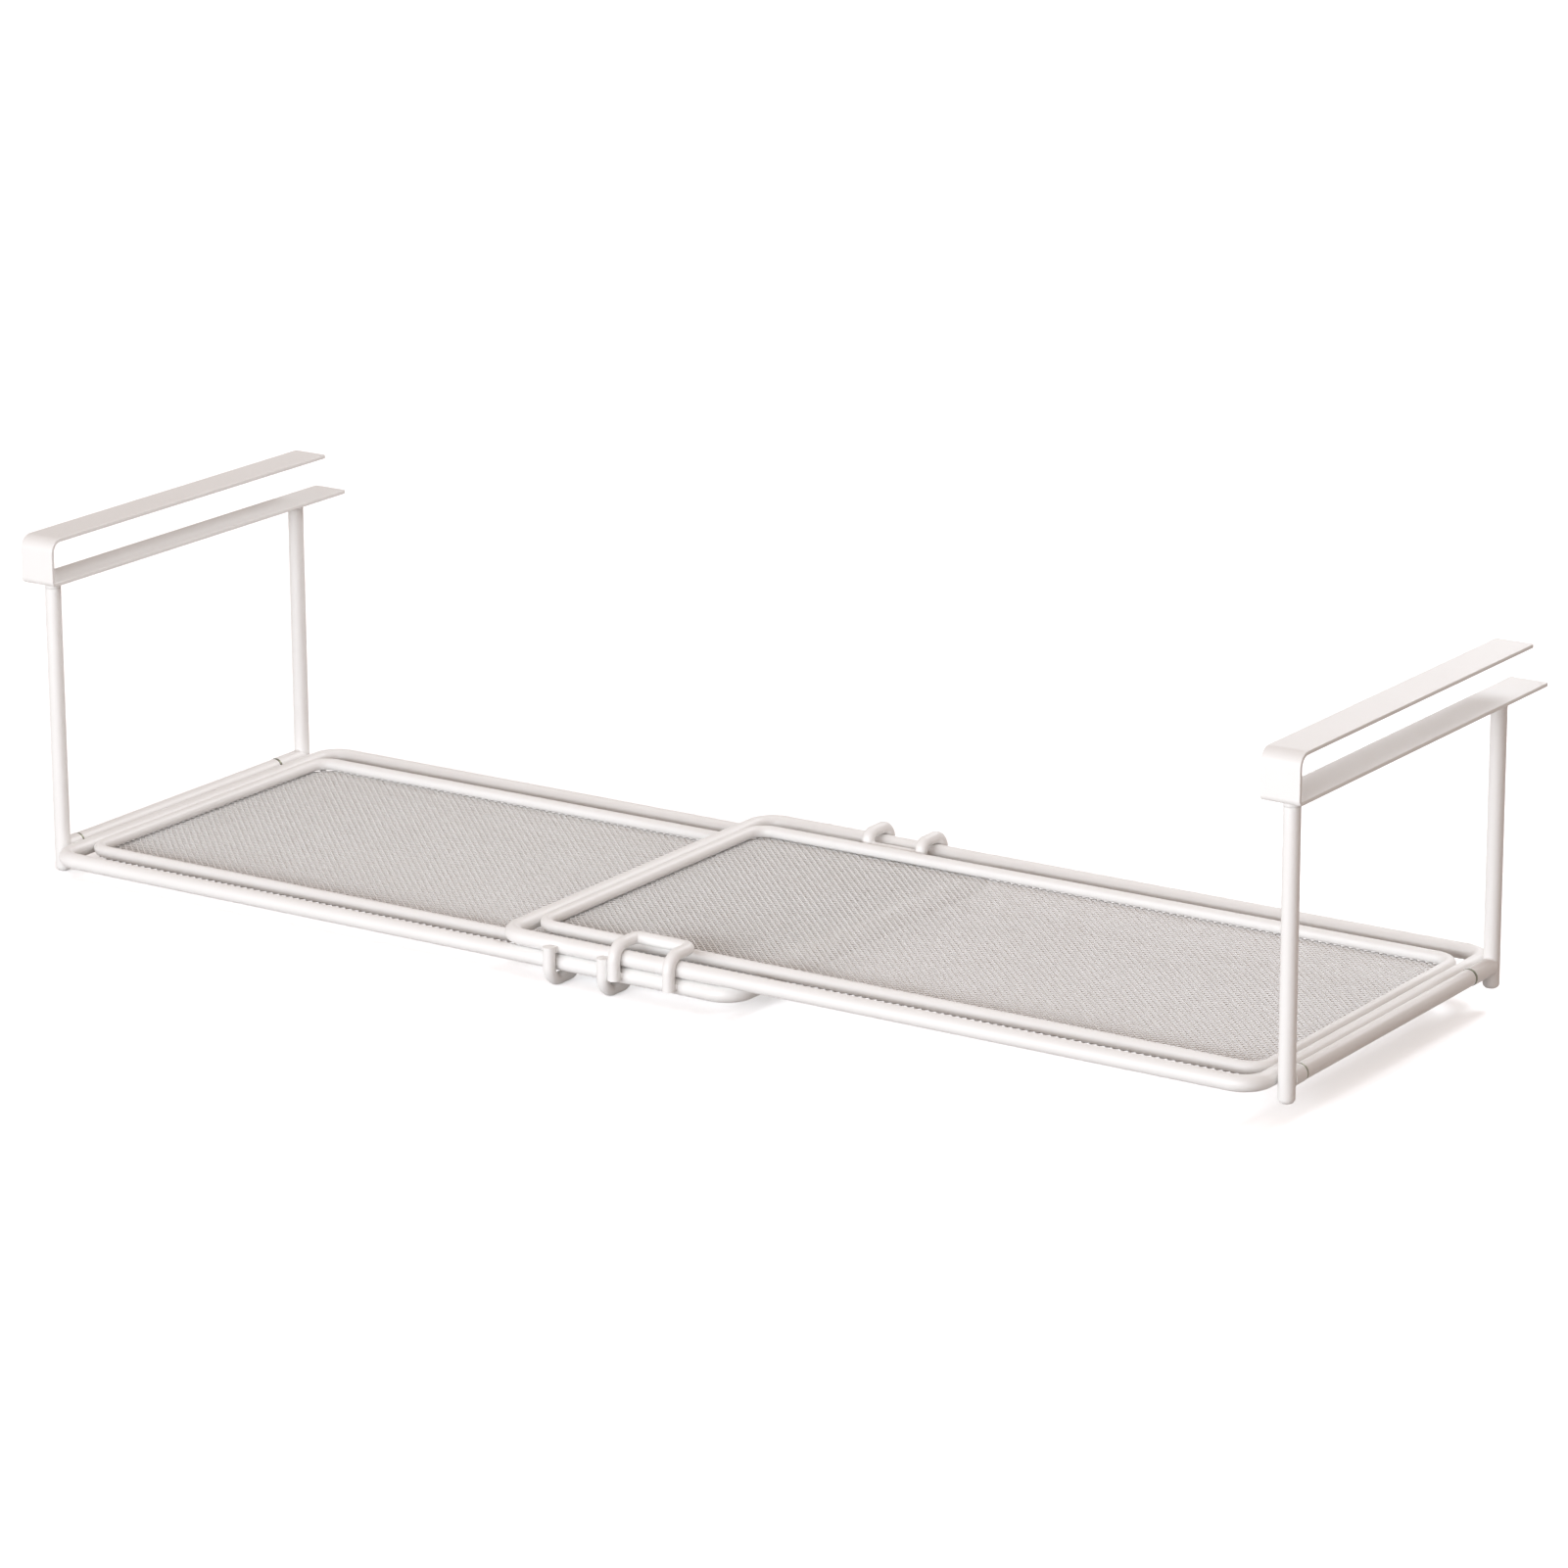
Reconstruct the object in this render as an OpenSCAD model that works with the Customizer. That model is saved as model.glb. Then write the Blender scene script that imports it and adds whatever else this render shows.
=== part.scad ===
// Extendable basket organizer that hangs from a shelf board or cabinet floor.
// Two wire trays telescope, and a hinged frame with a flat hook stands at each outer end.
// Millimetres. X runs along the trays, Y to the rear, Z up. The trays are drawn fully extended.

/* [Reach] */
// Distance between the two hinge axes with the trays fully extended
hinge_span = 700; // [620:1:780]
// Length by which the two trays overlap when fully extended, between their end rails
tray_overlap = 132; // [112:1:180]

/* [Trays] */
// Depth of a tray between the axes of its two outer rails
tray_depth = 223.4; // [200:0.2:260]
// Diameter of the outer rail wire
rail_d = 8; // [7:0.1:9]
// Diameter of the inner rail wire
inner_d = 6; // [5:0.1:7]
// Distance from an outer rail to the inner rail beside it, between axes
inner_inset = 18.2; // [17.5:0.1:24]
// Bend radius of the outer rail's corners, at the wire's axis
rail_bend = 12; // [8:0.5:26]
// Bend radius of the inner rail's corners, at the wire's axis
inner_bend = 10; // [8:0.5:14]

/* [Mesh] */
// Thickness of the mesh sheet
mesh_t = 1.2; // [0.8:0.1:2]
// How far the mesh sheet laps under the inner rail, past the rail's axis
mesh_lap = 1.5; // [0.5:0.1:2]
// Width of one strand of the mesh
mesh_strand = 2.4; // [1.5:0.1:4]
// Number of diamonds along a tray
mesh_cols = 16; // [8:1:16]
// Number of diamonds across a tray
mesh_rows = 8; // [4:1:8]

/* [End frames] */
// Diameter of an upright
upright_d = 8; // [7:0.1:9]
// Distance between the front and rear uprights, between axes
upright_spacing = 194.2; // [170:0.2:200]
// Height of the hook's underside above the right hinge axis
hook_rise = 129; // [90:1:180]
// Length of the left uprights below their hinge axis
left_foot = 12.3; // [12:0.1:20]
// Length of the right uprights below their hinge axis
right_foot = 11; // [8:0.1:18]
// Radius of the rounded edge at the bottom of an upright
foot_round = 2.5; // [1:0.1:3]

/* [Hooks] */
// Width of the hook's flat strip
strip_w = 20; // [14:0.5:30]
// Thickness of the hook's flat strip
strip_t = 2; // [1.5:0.1:3]
// Height of the slot that takes the board
board_slot = 20; // [16:0.5:40]
// Distance from the front upright's axis to the hook's front face
hook_front = 11.6; // [8:0.1:20]
// Length of the hook's top blade, from its front face
top_blade = 220; // [150:1:240]
// Length of the hook's bottom blade, from its front face
bottom_blade = 236; // [212:1:260]
// Outer radius of the upper front bend
hook_top_r = 7; // [4:0.5:10]
// Outer radius of the lower front bend
hook_bottom_r = 3; // [3:0.5:8]

/* [Hinges] */
// Diameter of the hinge tube along the tray's outer end
tube_d = 8.2; // [7.5:0.1:9]
// Distance from the hinge axis to the tray's end rail, between axes
end_rail_in = 8.6; // [8.6:0.1:11]
// Height of the hinge axis above the outer rail's axis
hinge_lift = 0.8; // [0:0.1:1.2]
// Diameter of the hinge pins
pin_d = 5; // [3:0.1:5.5]
// Depth to which a pin enters its tube or knuckle
pin_depth = 9; // [6:0.5:9]
// Diameter of the knuckles on the uprights
knuckle_d = 8.7; // [8:0.1:8.7]
// Reach of the front knuckle from the upright's axis
front_knuckle = 10.9; // [10:0.1:20]
// Reach of the rear knuckle from the upright's axis
rear_knuckle = 21.6; // [12:0.1:30]
// Thickness of the washers between knuckle and tube
washer_t = 1.2; // [0.8:0.1:2]
// Outer diameter of the washers
washer_d = 8.4; // [7.5:0.1:8.6]

/* [Guide clips] */
// Diameter of the clip wire
clip_d = 6; // [5:0.1:6.2]
// Distance between the two legs of a clip, between axes
clip_legs = 31; // [24:0.5:36]
// Bend radius of the clip wire at its inner bends, at the wire's axis
clip_bend = 3.5; // [3.2:0.1:4]
// How far a clip's cut ends run past the axis of the rail that carries them
clip_tail = 0.8; // [0:0.1:2.5]
// Distance from the outer rail to the high bar of the upper front clip, between axes
high_bar_in = 11.2; // [10:0.1:17]
// Play between the lower clips and the rail that they hold
clip_play = 1.2; // [0.3:0.1:1.4]

/* [Clearances] */
// Gap between pieces that slide or swing past each other
slide_gap = 0.3; // [0.2:0.05:0.5]
// Radial gap between a hinge pin and its bore
pin_gap = 0.08; // [0.04:0.01:0.1]
// Gap at a seat where a piece is welded to its neighbour
seat_gap = 0.1; // [0:0.05:0.2]

/* [Hidden] */

$fn = 64;
// One named overrun for every cut that passes a face
cut = 1;

// Levels, from the ground under the left feet
left_hinge_z = left_foot;
left_rail_z = left_hinge_z - hinge_lift;
stack = rail_d + slide_gap;
right_rail_z = left_rail_z + stack;
right_hinge_z = right_rail_z + hinge_lift;
hook_z = right_hinge_z + hook_rise;
hook_h = board_slot + 2 * strip_t;

// Places along X
hinge_x = hinge_span / 2;
end_rail_x = hinge_x - end_rail_in;
tray_end_x = tray_overlap / 2;
inner_step = rail_d / 2 + inner_d / 2 + slide_gap;

// Places along Y, from the trays' middle plane
rail_y = tray_depth / 2;
inner_y = rail_y - inner_inset;
upright_y = upright_spacing / 2;
hook_y = -upright_y - hook_front;
tube_front_y = -upright_y + front_knuckle + seat_gap + washer_t + slide_gap;
tube_rear_y = upright_y - rear_knuckle - seat_gap - washer_t - slide_gap;

// The inner rail's top is level with the outer rail's top
inner_lift = (rail_d - inner_d) / 2;

// Clip legs stand off the rails by one running gap and end beside the rail that carries them
leg_end = -stack - clip_tail;
clip_out = rail_d / 2 + slide_gap + clip_d / 2;
clip_in = inner_inset - inner_d / 2 - slide_gap - clip_d / 2;
clip_x = slide_gap / 2 + clip_d / 2;

// The origin is at the middle of the part's outline on the ground
front_reach = rail_y + clip_out + clip_d / 2;
rear_reach = hook_y + bottom_blade;
mid_y = (front_reach - rear_reach) / 2;

// Colours of the powder coat and of the bare steel inside the hinges
coat = "floralwhite";
coat_shade = "antiquewhite";
bare = "darkgray";

module at_mid() {
    translate([0, mid_y, 0]) children();
}

// A straight round bar along X between two places
module bar_x(x0, x1, d) {
    translate([x0, 0, 0]) rotate([0, 90, 0]) cylinder(h = x1 - x0, d = d);
}

// A straight round bar along Y between two places
module bar_y(y0, y1, d) {
    translate([0, y1, 0]) rotate([90, 0, 0]) cylinder(h = y1 - y0, d = d);
}

// A quarter bend from the +X axis to the +Y axis about the origin
module quarter_bend(r, d) {
    rotate_extrude(angle = 90) translate([r, 0]) circle(d = d);
}

// A closed rectangular wire with bent corners, lying flat
module wire_loop(x0, x1, half_y, d, r) {
    for (side = [-1, 1]) translate([0, side * half_y, 0]) bar_x(x0 + r, x1 - r, d);
    for (x = [x0, x1]) translate([x, 0, 0]) bar_y(r - half_y, half_y - r, d);
    translate([x1 - r, half_y - r, 0]) quarter_bend(r, d);
    translate([x0 + r, half_y - r, 0]) rotate([0, 0, 90]) quarter_bend(r, d);
    translate([x0 + r, r - half_y, 0]) rotate([0, 0, 180]) quarter_bend(r, d);
    translate([x1 - r, r - half_y, 0]) rotate([0, 0, 270]) quarter_bend(r, d);
}

module outer_rail(x0, x1, z) {
    color(coat) at_mid() translate([0, 0, z]) wire_loop(x0, x1, rail_y, rail_d, rail_bend);
}

module inner_rail(x0, x1, z) {
    color(coat) at_mid() translate([0, 0, z + inner_lift])
        wire_loop(x0 + inner_step, x1 - inner_step, inner_y, inner_d, inner_bend);
}

module diamond(half_x, half_y) {
    polygon([[half_x, 0], [0, half_y], [-half_x, 0], [0, -half_y]]);
}

module rounded_sheet(x0, x1, half_y, r) {
    translate([x0 + r, -half_y]) square([x1 - x0 - 2 * r, 2 * half_y]);
    translate([x0, r - half_y]) square([x1 - x0, 2 * (half_y - r)]);
    for (x = [x0 + r, x1 - r], y = [r - half_y, half_y - r]) translate([x, y]) circle(r = r);
}

// Diamonds in staggered rows, each drawn in by half a strand, and halved along the edges
module diamond_field(x0, x1, half_y) {
    step_x = (x1 - x0) / mesh_cols;
    step_y = 2 * half_y / mesh_rows;
    a = step_x / 2;
    b = step_y / 2;
    open_share = 1 - mesh_strand / 2 * sqrt(1 / (a * a) + 1 / (b * b));
    for (i = [0 : mesh_cols - 1], j = [0 : mesh_rows - 1])
        translate([x0 + (i + 1 / 2) * step_x, (j + 1 / 2) * step_y - half_y])
            diamond(a * open_share, b * open_share);
    intersection() {
        translate([x0, -half_y]) square([x1 - x0, 2 * half_y]);
        for (i = [0 : mesh_cols], j = [0 : mesh_rows])
            translate([x0 + i * step_x, j * step_y - half_y])
                diamond(a * open_share, b * open_share);
    }
}

// The sheet lies under the inner rail and laps it all round
module mesh_panel(x0, x1, z) {
    inner_x0 = x0 + inner_step;
    inner_x1 = x1 - inner_step;
    edge = inner_d / 2;
    top = z + inner_lift - inner_d / 2 - seat_gap;
    color(coat_shade) at_mid() translate([0, 0, top - mesh_t]) linear_extrude(height = mesh_t)
        difference() {
            rounded_sheet(inner_x0 - mesh_lap, inner_x1 + mesh_lap, inner_y + mesh_lap,
                inner_bend + mesh_lap);
            diamond_field(inner_x0 + edge, inner_x1 - edge, inner_y - edge);
        }
}

module hinge_tube(x, z) {
    color(coat) at_mid() translate([x, 0, z]) difference() {
        bar_y(tube_front_y, tube_rear_y, tube_d);
        bar_y(tube_front_y - cut, tube_rear_y + cut, pin_d + 2 * pin_gap);
    }
}

// A bent wire clip over a rail that runs along X through the origin.
// Two legs rise outside the rail, arch over it, dip inside it and join in a bar.
module clip_over(play) {
    arch_z = rail_d / 2 + play + clip_d / 2;
    inner_turn = clip_in - clip_bend;
    bar_z = arch_z - 2 * clip_bend;
    for (leg = [0, 1]) translate([leg * clip_legs, 0, 0]) mirror([leg, 0, 0]) {
        translate([0, -clip_out, leg_end]) cylinder(h = arch_z - clip_out - leg_end, d = clip_d);
        translate([0, 0, arch_z - clip_out]) rotate([90, 0, 270]) quarter_bend(clip_out, clip_d);
        translate([0, 0, arch_z]) bar_y(0, inner_turn, clip_d);
        translate([0, inner_turn, arch_z - clip_bend]) rotate([90, 0, 90])
            quarter_bend(clip_bend, clip_d);
        translate([clip_bend, clip_in, arch_z - clip_bend]) rotate([90, 180, 0])
            quarter_bend(clip_bend, clip_d);
    }
    translate([0, clip_in, bar_z]) bar_x(clip_bend, clip_legs - clip_bend, clip_d);
}

// A bent wire clip over the same rail whose arches join in a bar at their full height
module clip_flat() {
    straight = high_bar_in - clip_bend;
    for (leg = [0, 1]) translate([leg * clip_legs, 0, 0]) mirror([leg, 0, 0]) {
        translate([0, -clip_out, leg_end]) cylinder(h = -leg_end, d = clip_d);
        rotate([90, 0, 270]) quarter_bend(clip_out, clip_d);
        translate([0, 0, clip_out]) bar_y(0, straight, clip_d);
        translate([clip_bend, straight, clip_out]) rotate([0, 0, 90])
            quarter_bend(clip_bend, clip_d);
    }
    translate([0, high_bar_in, clip_out]) bar_x(clip_bend, clip_legs - clip_bend, clip_d);
}

// The left tray's clips ride over the right tray's outer rails
module upper_clip(side) {
    color(coat) at_mid() mirror([0, (side + 1) / 2, 0])
        translate([clip_x, -rail_y, right_rail_z]) children();
}

// The right tray's clips hang under the left tray's outer rails
module lower_clip(side) {
    color(coat) at_mid() mirror([0, (side + 1) / 2, 0])
        translate([-clip_x, -rail_y, left_rail_z]) rotate([0, 180, 0]) clip_over(clip_play);
}

// A bent corner of the strip in the plane of the hook's outline
module strip_bend(r) {
    intersection() {
        difference() {
            circle(r = r);
            circle(r = r - strip_t);
        }
        translate([-r - cut, 0]) square([r + cut, r + cut]);
    }
}

module hook_outline() {
    square_h = hook_h - hook_top_r - hook_bottom_r;
    translate([0, hook_bottom_r]) square([strip_t, square_h]);
    translate([hook_bottom_r, 0]) square([bottom_blade - hook_bottom_r, strip_t]);
    translate([hook_top_r, hook_h - strip_t]) square([top_blade - hook_top_r, strip_t]);
    translate([hook_top_r, hook_h - hook_top_r]) strip_bend(hook_top_r);
    translate([hook_bottom_r, hook_bottom_r]) mirror([0, 1]) strip_bend(hook_bottom_r);
}

// A flat strip folded back on itself, open to the rear, that grips the board
module hook(x) {
    color(coat) at_mid() translate([x - strip_w / 2, hook_y, hook_z])
        rotate([90, 0, 90]) linear_extrude(height = strip_w) hook_outline();
}

// Half outline of an upright, with its bottom edge rounded
module upright_half(h) {
    r = upright_d / 2;
    translate([0, foot_round]) square([r, h - foot_round]);
    square([r - foot_round, foot_round]);
    intersection() {
        translate([r - foot_round, foot_round]) circle(r = foot_round);
        translate([r - foot_round, 0]) square([foot_round, foot_round]);
    }
}

module upright(x, y, z0) {
    color(coat) at_mid() translate([x, y, z0]) rotate_extrude() upright_half(hook_z - z0);
}

// Runs its children along the hinge axis, from an upright's axis towards the middle
module from_upright(x, z, side) {
    at_mid() translate([x, side * upright_y, z]) mirror([0, (side + 1) / 2, 0]) children();
}

// A knuckle is saddled on its upright and bored for the pin
module knuckle(x, z, side, reach) {
    color(coat) from_upright(x, z, side) difference() {
        bar_y(upright_d / 4, reach, knuckle_d);
        translate([0, 0, -knuckle_d]) cylinder(h = 2 * knuckle_d, d = upright_d + 2 * seat_gap);
        bar_y(pin_start(reach), reach + cut, pin_d + 2 * pin_gap);
    }
}

// A pin starts inside its knuckle, but never inside the upright
function pin_start(reach) = max(reach - pin_depth, upright_d / 2 + 2 * seat_gap);

module hinge_pin(x, z, side, reach) {
    tip = reach + seat_gap + washer_t + slide_gap + pin_depth;
    color(bare) from_upright(x, z, side) bar_y(pin_start(reach) + seat_gap, tip, pin_d);
}

module washer(x, z, side, reach) {
    color(bare) from_upright(x, z, side) difference() {
        bar_y(reach + seat_gap, reach + seat_gap + washer_t, washer_d);
        bar_y(reach, reach + seat_gap + washer_t + cut, pin_d + 2 * pin_gap);
    }
}

module left_outer_rail() outer_rail(-end_rail_x, tray_end_x, left_rail_z);
module left_inner_rail() inner_rail(-end_rail_x, tray_end_x, left_rail_z);
module left_mesh() mesh_panel(-end_rail_x, tray_end_x, left_rail_z);
module left_hinge_tube() hinge_tube(-hinge_x, left_hinge_z);
module left_front_clip() upper_clip(-1) clip_flat();
module left_rear_clip() upper_clip(1) clip_over(slide_gap);

module right_outer_rail() outer_rail(-tray_end_x, end_rail_x, right_rail_z);
module right_inner_rail() inner_rail(-tray_end_x, end_rail_x, right_rail_z);
module right_mesh() mesh_panel(-tray_end_x, end_rail_x, right_rail_z);
module right_hinge_tube() hinge_tube(hinge_x, right_hinge_z);
module right_front_clip() lower_clip(-1);
module right_rear_clip() lower_clip(1);

module left_hook() hook(-hinge_x);
module left_front_upright() upright(-hinge_x, -upright_y, left_hinge_z - left_foot);
module left_rear_upright() upright(-hinge_x, upright_y, left_hinge_z - left_foot);
module left_front_knuckle() knuckle(-hinge_x, left_hinge_z, -1, front_knuckle);
module left_rear_knuckle() knuckle(-hinge_x, left_hinge_z, 1, rear_knuckle);
module left_front_pin() hinge_pin(-hinge_x, left_hinge_z, -1, front_knuckle);
module left_rear_pin() hinge_pin(-hinge_x, left_hinge_z, 1, rear_knuckle);
module left_front_washer() washer(-hinge_x, left_hinge_z, -1, front_knuckle);
module left_rear_washer() washer(-hinge_x, left_hinge_z, 1, rear_knuckle);

module right_hook() hook(hinge_x);
module right_front_upright() upright(hinge_x, -upright_y, right_hinge_z - right_foot);
module right_rear_upright() upright(hinge_x, upright_y, right_hinge_z - right_foot);
module right_front_knuckle() knuckle(hinge_x, right_hinge_z, -1, front_knuckle);
module right_rear_knuckle() knuckle(hinge_x, right_hinge_z, 1, rear_knuckle);
module right_front_pin() hinge_pin(hinge_x, right_hinge_z, -1, front_knuckle);
module right_rear_pin() hinge_pin(hinge_x, right_hinge_z, 1, rear_knuckle);
module right_front_washer() washer(hinge_x, right_hinge_z, -1, front_knuckle);
module right_rear_washer() washer(hinge_x, right_hinge_z, 1, rear_knuckle);

left_outer_rail();
left_inner_rail();
left_mesh();
left_hinge_tube();
left_front_clip();
left_rear_clip();
right_outer_rail();
right_inner_rail();
right_mesh();
right_hinge_tube();
right_front_clip();
right_rear_clip();
left_hook();
left_front_upright();
left_rear_upright();
left_front_knuckle();
left_rear_knuckle();
left_front_pin();
left_rear_pin();
left_front_washer();
left_rear_washer();
right_hook();
right_front_upright();
right_rear_upright();
right_front_knuckle();
right_rear_knuckle();
right_front_pin();
right_rear_pin();
right_front_washer();
right_rear_washer();
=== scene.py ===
import math

import bmesh
import bpy
from bpy.props import FloatProperty, FloatVectorProperty, IntProperty, PointerProperty
from mathutils import Matrix, Vector


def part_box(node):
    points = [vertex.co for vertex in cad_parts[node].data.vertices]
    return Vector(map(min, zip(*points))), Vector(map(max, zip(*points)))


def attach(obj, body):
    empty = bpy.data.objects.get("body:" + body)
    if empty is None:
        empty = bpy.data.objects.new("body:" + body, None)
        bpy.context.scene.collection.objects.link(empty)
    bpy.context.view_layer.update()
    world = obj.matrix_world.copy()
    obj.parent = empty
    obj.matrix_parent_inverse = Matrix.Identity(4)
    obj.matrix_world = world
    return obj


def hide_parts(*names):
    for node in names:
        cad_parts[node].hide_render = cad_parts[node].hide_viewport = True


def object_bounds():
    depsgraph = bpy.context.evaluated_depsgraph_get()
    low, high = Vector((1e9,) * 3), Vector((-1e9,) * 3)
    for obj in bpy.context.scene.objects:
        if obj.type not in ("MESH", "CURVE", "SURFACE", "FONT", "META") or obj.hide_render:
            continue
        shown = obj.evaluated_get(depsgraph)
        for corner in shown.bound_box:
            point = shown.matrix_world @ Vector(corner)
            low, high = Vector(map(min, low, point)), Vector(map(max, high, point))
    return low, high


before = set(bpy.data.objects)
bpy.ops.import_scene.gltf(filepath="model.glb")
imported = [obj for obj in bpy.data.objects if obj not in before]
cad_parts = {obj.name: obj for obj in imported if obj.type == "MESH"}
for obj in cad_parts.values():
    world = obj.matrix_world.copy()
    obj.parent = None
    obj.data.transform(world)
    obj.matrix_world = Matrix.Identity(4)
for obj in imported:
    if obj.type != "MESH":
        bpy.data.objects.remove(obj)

bl_info = {
    "name": "Under-cabinet basket organizer",
    "version": (1, 0, 0),
    "blender": (4, 5, 0),
    "location": "View3D > Sidebar > Organizer",
    "description": "Coats, meshes, welds and lights the telescoping wire organizer",
    "category": "Object",
}

# The box of the bare frame, measured before anything is dressed
CAD_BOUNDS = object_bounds()
MM = 0.001
SIDES = {"left": -1, "right": 1}
ENDS = {"front": -1, "rear": 1}
LAMPS = ("key", "strip", "rear", "top")
# The middle of the object, at which every lamp points
AIM = (Vector(CAD_BOUNDS[0]) + Vector(CAD_BOUNDS[1])) / 2
# Width of the camera's sensor in millimetres
SENSOR = 36
# Over one, and a little blue, so that the warm dim light still shows the paper as white
PAPER = (1.2, 1.23, 1.27, 1)
WHITE = (1, 1, 1, 1)
MATH = "ShaderNodeMath"
VECTOR_MATH = "ShaderNodeVectorMath"

# Segments of a quarter turn on a blade's corner, on a soft edge and on a fillet
TIP_STEPS, EDGE_STEPS, FILLET_STEPS = 6, 3, 6
# Segments of a full turn round a diamond, a weld bead, a saddle and an upright
DIAMOND_SIDES, BEAD_SIDES, SADDLE_STEPS, COLLAR_SIDES = 4, 12, 36, 40
# Share of the edge radius that is used, so that the flats between two edges never vanish
EDGE_SHARE = 0.999
# Two stations on the strip that are no further apart, in metres, are the same
SAME_STATION = 1e-9
# Share of a rod's radius at which the ring of its saddle turns round
SADDLE_SHARE = 0.98
# Places along a straight bead over its length, each with its girth over the full girth
TACK_SHARES = ((-0.5, 0.35), (-0.44, 0.8), (-0.3, 1.0), (0.3, 1.0), (0.44, 0.8), (0.5, 0.35))


def linear(hex_colour):
    """Linear RGB of an sRGB hex colour."""
    parts = [int(hex_colour[i:i + 2], 16) / 255 for i in (1, 3, 5)]
    return tuple(p / 12.92 if p <= 0.04045 else ((p + 0.055) / 1.055) ** 2.4 for p in parts)


def length(name, description, millimetres, low=0.0):
    """A length property whose default is given in millimetres."""
    return FloatProperty(name=name, description=description, default=millimetres * MM,
                         min=low * MM, unit="LENGTH", precision=5)


def number(name, description, value, low=0.0, high=1000.0, subtype="NONE"):
    """A plain number or, with a subtype, an angle."""
    return FloatProperty(name=name, description=description, default=value, min=low, max=high,
                         subtype=subtype)


def colour(name, description, hex_colour):
    """A colour property whose default is an sRGB hex colour."""
    return FloatVectorProperty(name=name, description=description, subtype="COLOR", size=3,
                               min=0.0, max=1.0, default=linear(hex_colour))


def place(name, description, metres):
    """A point in the object's frame."""
    return FloatVectorProperty(name=name, description=description, subtype="TRANSLATION",
                               unit="LENGTH", default=metres)


def extent(name, description, metres):
    """A width and a height."""
    return FloatVectorProperty(name=name, description=description, size=2, min=0.0,
                               unit="LENGTH", default=metres)


class OrganizerFinish(bpy.types.PropertyGroup):
    """Colours and grain of the surfaces"""

    coat: colour("Powder coat", "Colour of the powder coat where it is thick", "#F6F6F5")
    coat_thin: colour("Thin coat", "Colour of the powder coat where it is thin", "#F1F0EE")
    peel: length("Orange peel", "Width of one ripple in the baked coat", 1.6, 0.1)
    cloud: length("Clouding", "Width of the faint patches in the coat's colour", 45, 1)
    gloss: number("Coat roughness", "Roughness of the satin coat", 0.42, 0, 1)
    gloss_play: number("Roughness play", "How far the ripples vary that roughness", 0.05, 0, 1)
    zinc: colour("Zinc", "Colour of the zinc on pins and washers", "#7B7868")
    zinc_shade: number("Zinc shade", "Brightness of its darkest blotches", 0.8, 0, 1)
    zinc_bright: number("Zinc, brightest", "Least roughness of the zinc", 0.35, 0, 1)
    zinc_dull: number("Zinc, dullest", "Greatest roughness of the zinc", 0.6, 0, 1)
    brushed: length("Zinc grain", "Width of the dull blotches on the zinc", 0.8, 0.1)


class OrganizerMesh(bpy.types.PropertyGroup):
    """Sizes of the expanded mesh"""

    pitch_x: length("Pitch along", "Length of one diamond along the tray", 4.06, 1)
    pitch_y: length("Pitch across", "Length of one diamond across the tray", 4.0, 1)
    strand: length("Strand width", "Width of one coated strand", 0.85, 0.1)
    thickness: length("Strand thickness", "Thickness of one coated strand", 0.8, 0.1)
    corner: length("Corner radius", "Radius of the sheet's corners in plan", 11.5)
    slant: number("Slant", "Rise of a strand over its run across", 0.2, 0, 1)


class OrganizerHook(bpy.types.PropertyGroup):
    """Sizes of the folded strip"""

    strip: length("Strip", "Thickness of the strip", 2.0, 0.5)
    top_bend: length("Upper bend", "Outer radius of the upper front bend", 7.0, 2)
    bottom_bend: length("Lower bend", "Outer radius of the lower front bend", 3.0, 2)
    top_blade: length("Top blade", "Length of the top blade from the front face", 220, 50)
    tip: length("Tip corners", "Radius of the blades' corners in plan", 1.5, 0.2)
    edge: length("Soft edge", "Radius that the coat gives to the strip's edges", 0.45, 0.1)
    bend_steps: IntProperty(name="Bend steps", description="Segments in one bend", default=12,
                            min=3, max=48)


class OrganizerWeld(bpy.types.PropertyGroup):
    """Sizes of the weld beads"""

    bead: length("Bead", "Radius of a weld bead between two wires", 1.5, 0.2)
    tack: length("Tack", "Length of a weld bead between two wires", 16, 2)
    rail_apart: length("Rail beads", "Distance of the rails' beads from the tray's middle", 60)
    rail_drop: length("Rail bead drop", "Depth of those beads under the rails' middle", 1.2)
    groove_share: number("Groove", "A bead's shift to the thinner wire over the radii's difference",
                         0.4, 0, 1)
    tube_apart: length("Tube beads", "Distance of the tube's beads from its middle", 55)
    tube_drop: length("Tube bead drop", "Depth of those beads under the middle height", 1.9)
    clip_share: number("Clip beads", "Distance of a bead from its leg over the wire's radius",
                       0.62, 0, 2)
    clip_out: length("Clip bead reach", "Distance of that bead outside the rail", 0.1)
    clip_drop: length("Clip bead drop", "Distance of that bead from the rail's middle height", 0.9)
    clip_length_share: number("Clip bead length", "Its length over the rail's radius",
                              0.85, 0, 2)
    clip_girth_share: number("Clip bead girth", "Its radius over that of the other beads",
                             0.8, 0, 2)
    saddle: length("Saddle bead", "Radius of the bead round a knuckle's saddle", 0.4, 0.1)
    collar: length("Collar", "Width of the fillet round an upright's top", 1.3, 0.2)
    collar_h: length("Collar height", "Height of that fillet", 3.5, 0.2)
    collar_in: length("Collar root", "How far that fillet goes into the rod", 0.5, 0.1)
    collar_up: length("Collar top", "How far that fillet goes into the strip", 0.3, 0.1)
    ripple: length("Ripple", "Distance between two ripples of a bead", 1.4, 0.2)
    ripple_share: number("Ripple share", "Height of a ripple over the bead's radius", 0.08, 0, 1)
    spacing: length("Spacing", "Distance between two rings of a bead's surface", 0.35, 0.1)


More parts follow.
